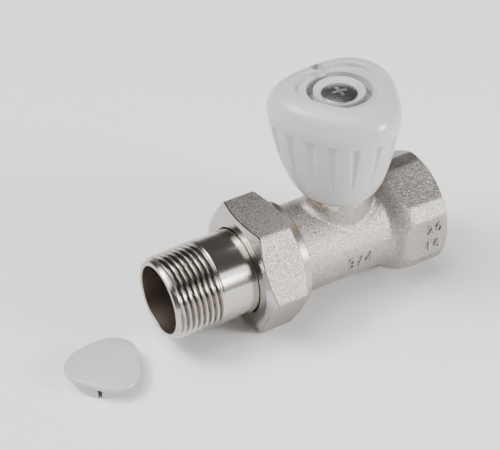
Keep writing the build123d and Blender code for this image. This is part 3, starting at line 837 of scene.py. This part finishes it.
def makeTailpiece():
    s = tailForm
    end, bore, plain, sealX, step = s["end"], s["bore"], s["plain"], s["sealX"], s["threadStep"]
    footX, foot = end + 0.25, s["endFace"] + 0.12  # the bevel's foot
    rows = roundedPath([(end + 1, bore, 0), (end, bore, 0.25), (end, s["endFace"], 0.1),
                        (footX, foot, 0)])
    rise = (s["crest"] + 0.02 - foot) / (s["bevelX"] - footX)
    rows += [(x, foot + rise * (x - footX)) for x in np.arange(end + 0.38, s["bevelX"], step)]
    rows += [(x, s["crest"] + tailThread["Taper"] * (x - tailThread["Start"]))
             for x in np.arange(s["bevelX"], s["threadEnd"] - 0.1, step)]
    rows += roundedPath([(s["threadEnd"] + 0.1, plain, 0), (s["collarX"], plain, 0.3),
                         (s["collarX"], s["collar"], 0.2), (sealX, s["collar"], 0.2),
                         (sealX, bore, 0.3), (sealX - 1, bore, 0)])
    rows += [(sealX - 2 - share * (sealX - end - 4), bore)
             for share in np.linspace(0, 1, s["boreRows"])]
    tube = turned("tailTube", rows, ringAngles(s["columns"]), loop=True)
    return runThread(tube, tailThread, turnedBright)


def tailFinish(middles, normals):
    # the bore gets the darker nickel: painted shade
    outsideFace, boreFace = range(2)
    radius, _ = roundPipe(middles, normals)
    return np.where(radius < tailForm["bore"] + 0.05, boreFace, outsideFace)


tail = makeTailpiece()
paint(tail, [turnedBright, boreNickel], tailFinish)
smoothed(tail, 50)
addPiece(tail, "tail", "nickel_plated_brass", "tailpiece")


# handwheel: one closed three-lobed shell with its flutes, recess, well and hub
wheelForm = {
    "columns": 432, "lobeTurn": 32.5, "rim": 10.0, "wide": 19.74, "curve": 0.46, "lobe": 0.085,
    "bottomZ": 18.4, "wideZ": 46.5, "topZ": 54.2, "rimRounding": 0.35, "levelFrom": 20,
    "recess": 12.2, "recessLobe": 0.098, "recessFloor": 52.6, "well": 9.8, "wellFloor": 48.0,
    "hub": 7.76, "hubTop": 52.45, "dish": 1.1, "seatZ": 50.15, "headHole": 5.47, "shankHole": 2.05,
    "stemTop": 46.0, "stemHole": 3.56, "hubFoot": 5.6, "hubBottom": 36.4,
    "wall": 2.0, "ceiling": 51.0, "rimInside": 8.9,
    "footRows": [18.85, 19.0, 19.25, 19.6, 20.1, 20.7, 21.5],
    "insideRows": [51.0, 49.5, 46.5, 43, 39, 35, 31, 27.5, 24.5, 22.5],
    "notchWidth": 3.4, "notchTurn": 91.0, "notchFrom": 9.0, "notchTo": 14.4, "notchSunk": 0.9,
    "notchHeight": 3.0,
}
fluteForm = {
    "Count": 18.0, "Bottom": 26.5, "Top": 44.4, "LowWidth": 0.35, "TopWidth": 1.45,
    "LowDepth": 0.05, "TopDepth": 1.0, "Lobe": 0.085, "Start": -3.2,
}


def wheelRadius(z, lobes, inward=0.0):
    # the lobed skirt widens upwards and turns in over the top as a quarter of an ellipse
    s = wheelForm
    share = np.clip((z - s["bottomZ"]) / (s["wideZ"] - s["bottomZ"]), 0, 1)
    rise = np.clip((z - s["wideZ"]) / (s["topZ"] - inward - s["wideZ"]), 0, 1)
    skirt = s["rim"] + (s["wide"] - s["rim"]) * share ** s["curve"] - inward
    radius = s["recess"] + (skirt - s["recess"]) * np.sqrt(1 - rise ** 2)
    lobe = s["lobe"] * (1 - (1 - share) ** 3) + (s["recessLobe"] - s["lobe"]) * rise
    return radius * (1 + lobe * lobes)


def outsideHeights():
    # closer together round the rim's lip and at the flutes' top ends
    s, fluteTop = wheelForm, fluteForm["Top"]
    heights = [s["bottomZ"] + s["rimRounding"] * (1 - cos(radians(turn))) for turn in (20, 50, 90)]
    heights += s["footRows"] + list(np.arange(22.4, 26, 0.9))
    heights += list(np.arange(26.3, fluteTop - 0.5, 0.5))
    heights += [fluteTop + step for step in (-0.3, -0.12, -0.03, 0.03, 0.12, 0.3)]
    heights += list(np.arange(fluteTop + 0.6, s["wideZ"], 0.5))
    dome = s["topZ"] - s["wideZ"]
    return heights + [s["wideZ"] + dome * sin(radians(turn)) for turn in np.arange(3, 90, 3)]


def wheelRows():
    # rows are (height, radius, flute level), the radius one number or one per angle
    s = wheelForm
    angles = ringAngles(s["columns"])
    lobes = np.cos(3 * (angles - radians(s["lobeTurn"])))
    bottom, top, rim = s["bottomZ"], s["topZ"], s["rimRounding"]
    floor, wall = s["recessFloor"], s["wall"]
    rows = []
    for z in outsideHeights():
        lip = rim - sqrt(max(rim ** 2 - (bottom + rim - z) ** 2, 0)) if z < bottom + rim else 0
        radius = wheelRadius(np.full(len(angles), z), lobes) - lip
        rows.append((z, radius, z if s["levelFrom"] < z < s["wideZ"] else 0))

    # lobed cap recess: height and how far beyond its nominal outline
    recess = s["recess"] * (1 + s["recessLobe"] * lobes)
    recessPath = [(top, 0.05), (top - 0.04, -0.12), (top - 0.2, -0.27), (top - 0.5, -0.33),
                  (floor + 0.15, -0.4), (floor, -0.55), (floor, -0.7)]
    rows += [(z, recess + beyond, 0) for z, beyond in recessPath]

    # round well, dished hub with the screw's seat, stem hole and the well's outside
    well, hub, head, shank, stem = s["well"], s["hub"], s["headHole"], s["shankHole"], s["stemHole"]
    wellFloor, seat, stemTop = s["wellFloor"], s["seatZ"], s["stemTop"]
    foot, hubLow = s["hubFoot"], s["hubBottom"]
    outside = well + wall
    wellPath = roundedPath([
        (floor, well + 0.4, 0), (floor, well, 0.3), (wellFloor, well, 0.3), (wellFloor, hub, 0.3),
        (s["hubTop"], hub, 0.35), (s["hubTop"] - s["dish"], head, 0.1), (seat, head, 0.1),
        (seat, shank, 0.1), (stemTop, shank, 0.1), (stemTop, stem, 0.1), (hubLow, stem, 0.2),
        (hubLow, foot, 0.3), (wellFloor - wall, foot, 0.4), (wellFloor - wall, outside, 0.4),
        (s["ceiling"], outside, 0)], 2)
    rows += [(z, radius, 0) for z, radius in wellPath]

    # inside of the skirt, back down to the rim
    for z in s["insideRows"]:
        rows.append((z, wheelRadius(np.full(len(angles), z), lobes, wall), 0))
    inside = s["rimInside"]
    rimPath = [(19.2, inside + 0.6), (18.7, inside), (bottom, inside + 0.15)]
    rows += [(z, radius, 0) for z, radius in rimPath]
    return angles, rows


def makeHandwheel():
    s = wheelForm
    angles, rows = wheelRows()
    levels = np.repeat([level for _, _, level in rows], len(angles))
    vertices = [ringPoints(z, radius, angles, "stem") for z, radius, _ in rows]
    faces = gridFaces(len(rows), len(angles), True)
    wheel = newObject("handWheel", np.concatenate(vertices) * mm, faces)
    attribute = wheel.data.attributes.new("level", "FLOAT", "POINT")
    attribute.data.foreach_set("value", levels.astype(np.float32))
    tidyMesh(wheel)
    values = {key: value * mm if key.endswith(("Width", "Depth")) else value
              for key, value in fluteForm.items()}
    values.update({"Start": radians(values["Start"]), "Turn": radians(s["lobeTurn"]),
                   "StemX": stemX * mm, "Material": plastic})
    runTree(wheel, fluteTree, values)
    reach, height = s["notchTo"] - s["notchFrom"], s["notchHeight"]
    level = s["recessFloor"] - s["notchSunk"] + height / 2
    place = stemPlace(level, s["notchTurn"], s["notchFrom"] + reach / 2)
    return carve(wheel, block((reach, s["notchWidth"], height), place))


wheel = makeHandwheel()
paint(wheel, [plastic])
smoothed(tidyMesh(wheel), 40)
addPiece(wheel, "handwheel", "white_plastic", "handwheel")


# handwheel screw: domed head with a cross recess
screwForm = {
    "head": 5.37, "seat": 50.15, "edge": 1.2, "crown": 2.0, "shank": 1.95, "length": 11.0,
    "domeRows": (4.6, 3.6, 2.6, 1.6, 0.8, 0), "columns": 128,
    "armWidth": 1.25, "armReach": 5.6, "armDepth": 1.5, "armFoot": 0.68, "turn": -6.0,
    "crossLow": 1.8, "crossTop": 0.12,
}


def makeScrew():
    s = screwForm
    seat, shank, head, low = s["seat"], s["shank"], s["head"], s["seat"] - s["length"]
    rise, top = s["crown"] - s["edge"], s["seat"] + s["crown"]
    ball = (head ** 2 + rise ** 2) / (2 * rise)
    points = [(low, 0, 0), (low, shank, 0.2), (seat, shank, 0.1), (seat, head, 0.12),
              (seat + s["edge"], head, 0.25)]
    points += [(top - ball + sqrt(ball ** 2 - r ** 2), r, 0) for r in s["domeRows"]]
    screw = turned("wheelScrew", roundedPath(points), ringAngles(s["columns"]), "stem")
    for n in range(2):
        place = stemPlace(top, s["turn"] + 90 * n)
        tool = block((s["armReach"], s["armWidth"], 2 * s["armDepth"]), place)
        for vertex in tool.data.vertices:  # the arms narrow towards the bottom
            if vertex.co.z < top * mm:
                vertex.co.x = stemX * mm + (vertex.co.x - stemX * mm) * s["armFoot"]
                vertex.co.y *= s["armFoot"]
        carve(screw, tool)
    return screw


def screwFinish(middles, normals):
    # the walls of the cross recess get a lighter, less metallic colour than the head: a painted
    # highlight
    s, z = screwForm, middles[:, 2]
    headFace, crossGlintFace = range(2)
    top = s["seat"] + s["crown"]
    nearMiddle = np.hypot(middles[:, 0] - stemX, middles[:, 1]) < s["armReach"] / 2 + 0.1
    inCross = (z > top - s["crossLow"]) & (z < top - s["crossTop"]) & (np.abs(normals[:, 2]) < 0.97)
    return np.where(nearMiddle & inCross, crossGlintFace, headFace)


screw = makeScrew()
paint(screw, [small["screwSteel"], small["crossSteel"]], screwFinish)
smoothed(tidyMesh(screw), 30)
addPiece(screw, "handwheel", "plated_steel", "handwheel_screw")


# cap that closes the handwheel's well, lying beside the tailpiece
capForm = {
    "x": -113.0, "y": -3.0, "turn": 36.0, "plate": 11.34, "lobe": 0.098, "plateZ": 4.0,
    "edge": 0.8, "crown": 1.9, "skirt": 9.5, "skirtInside": 8.5, "skirtColumns": 160,
    "slots": 3, "slotWidth": 1.3, "slotTurn": 232.6, "columns": 240,
    "domeRows": (0.93, 0.88, 0.8, 0.7, 0.55, 0.4, 0.25, 0.1, 0),
}


def makeCap():
    s = capForm
    angles = ringAngles(s["columns"])
    outline = s["plate"] * (1 + s["lobe"] * np.cos(3 * (angles - radians(s["turn"]))))
    tip = s["plate"] * (1 + s["lobe"])
    ball = (tip ** 2 + s["crown"] ** 2) / (2 * s["crown"])
    low = floorZ + s["plateZ"]
    top = low + s["edge"] + s["crown"]

    def domeAt(radius):
        return top - ball + np.sqrt(ball ** 2 - radius ** 2)

    # flat underside, rounded edge and dome
    side = domeAt(outline)
    rows = [(low, 0 * outline), (low, outline - 0.8), (low, outline - 0.25),
            (low + 0.08, outline - 0.08), (low + 0.25, outline), (side - 0.5, outline),
            (side - 0.38, outline - 0.05), (domeAt(outline - 0.25) - 0.1, outline - 0.22),
            (domeAt(outline - 0.5), outline - 0.5)]
    rows += [(domeAt(outline * share), outline * share) for share in s["domeRows"]]
    cap = turned("wellCap", rows, angles, "stem")
    outside, inside, hidden = s["skirt"], s["skirtInside"], low + 0.4
    skirtPath = roundedPath([(floorZ, outside, 0.15), (hidden, outside, 0), (hidden, inside, 0),
                             (floorZ, inside, 0.15)], 2, True)
    skirt = turned("tool", skirtPath, ringAngles(s["skirtColumns"]), "stem", True)
    for n in range(s["slots"]):
        place = stemPlace(floorZ, s["slotTurn"] + 360 / s["slots"] * n, outside)
        carve(skirt, block((outside, s["slotWidth"], 2 * s["plateZ"] - 0.02), place))
    carve(cap, skirt, "UNION")
    cap.data.transform(Matrix.Translation(Vector((s["x"] - stemX, s["y"], 0)) * mm))
    return cap


cap = makeCap()
paint(cap, [plastic])
smoothed(tidyMesh(cap), 40)
addPiece(cap, "valve", "white_plastic", "handwheel_cap")


# the pieces whose CAD shape is right get their materials
nodeFinish = {
    "bareBrass": ("headwork", "stem", "washer_plate", "plug"),
    "sealRubber": ("headwork_seal", "stem_ring_upper", "stem_ring_lower", "seat_washer",
                   "tailpiece_seal"),
    "slipPlastic": ("stem_slip_washer", "ring_slip_washer"),
    "screwSteel": ("stem_retaining_ring", "washer_screw"),
}
for material, names in nodeFinish.items():
    for name in names:
        node = bpy.data.objects[name]
        node.data.materials.clear()
        node.data.materials.append(small[material])
print("CAD pieces dressed")


# floor, light and camera
stageForm = {
    "floorReach": 3.0, "floorColour": (0.93, 0.93, 0.93, 1), "floorShade": (0.91, 0.91, 0.91, 1),
    "floorRough": 0.6, "floorCloud": 3.0, "floorGrain": 900.0, "floorBump": (0.1, 0.00005),
    "skyHorizon": (0.4, 0.4, 0.4, 1), "skySide": (0.13, 0.125, 0.12, 1),
    "skyBright": (5.0, 5.0, 5.0, 1), "sideFrom": 0.1, "sideTo": 0.26,
    "brightWay": (-0.397, 0.144, 0.906), "brightFrom": 0.78, "brightTo": 0.97,
    # azimuth and elevation in degrees, distance and size in metres, power in watts
    "lamps": {
        "keyPanel": (-52.0, 19.0, 0.8, (0.19, 0.19), 6.5),
        "frontPanel": (-63.0, 31.0, 0.9, (0.4, 0.36), 1.5),
        "leftStrip": (156.0, 52.0, 0.8, (0.3, 0.16), 4.2),
    },
    "aim": (-0.045, 0.0, 0.0),
}


def makeFloor():
    s = stageForm
    reach = s["floorReach"]
    corners = ((-reach, -reach), (reach, -reach), (reach, reach), (-reach, reach))
    floor = newObject("floor", [(x, y, floorZ * mm) for x, y in corners], [(0, 1, 2, 3)])
    desk, place = newMaterial("paleFloor")
    cloud = desk.noise(s["floorCloud"], Vector=place)
    colour = desk.mixed(cloud, s["floorShade"], s["floorColour"])
    grain = desk.noise(s["floorGrain"], 1.0, Vector=place)
    pale = finish(desk, colour, s["floorRough"], (grain, *s["floorBump"]), 0.0)
    floor.data.materials.append(pale)


def makeSky():
    # dim sides over a brighter horizon, with one bright patch high on the left
    s = stageForm
    world = bpy.data.worlds.new("studio")
    scene.world = world
    world.use_nodes = True
    desk = NodeDesk(world.node_tree)
    direction = desk.add("ShaderNodeTexCoord").outputs["Generated"]
    height = desk.parts(direction)["Z"]
    side = desk.mixed(desk.ramp(height, s["sideFrom"], s["sideTo"]), s["skyHorizon"], s["skySide"])
    inputs = {0: direction, 1: s["brightWay"]}
    dot = desk.add("ShaderNodeVectorMath", inputs, operation="DOT_PRODUCT").outputs["Value"]
    patch = desk.ramp(dot, s["brightFrom"], s["brightTo"])
    background = world.node_tree.nodes["Background"]
    desk.put(background.inputs["Color"], desk.mixed(patch, side, s["skyBright"]))
    background.inputs["Strength"].default_value = 1.0


def makeLamps():
    s = stageForm
    aim = Vector(s["aim"])
    for name, (azimuth, elevation, distance, size, power) in s["lamps"].items():
        lamp = bpy.data.lights.new(name, "AREA")
        lamp.shape, lamp.size, lamp.size_y, lamp.energy = "RECTANGLE", size[0], size[1], power
        obj = linked(name, lamp)
        around, up = radians(azimuth), radians(elevation)
        way = Vector((cos(up) * cos(around), cos(up) * sin(around), sin(up)))
        obj.location = aim + distance * way
        obj.rotation_euler = (aim - obj.location).to_track_quat("-Z", "Y").to_euler()


cameraForm = {
    "place": (-0.25124, -0.32908, 0.30788), "turn": (52.393, 0.783, -30.591),
    "lens": 116.14, "sensor": 36.0, "clipFrom": 0.01, "clipTo": 20.0,
}


def makeCamera():
    s = cameraForm
    camera = bpy.data.cameras.new("camera")
    camera.lens, camera.sensor_width = s["lens"], s["sensor"]
    camera.clip_start, camera.clip_end = s["clipFrom"], s["clipTo"]
    obj = linked("camera", camera)
    obj.location = s["place"]
    obj.rotation_euler = Euler([radians(a) for a in s["turn"]], "XYZ")
    scene.camera = obj


makeFloor()
makeSky()
makeLamps()
makeCamera()
print("floor, light and camera set")
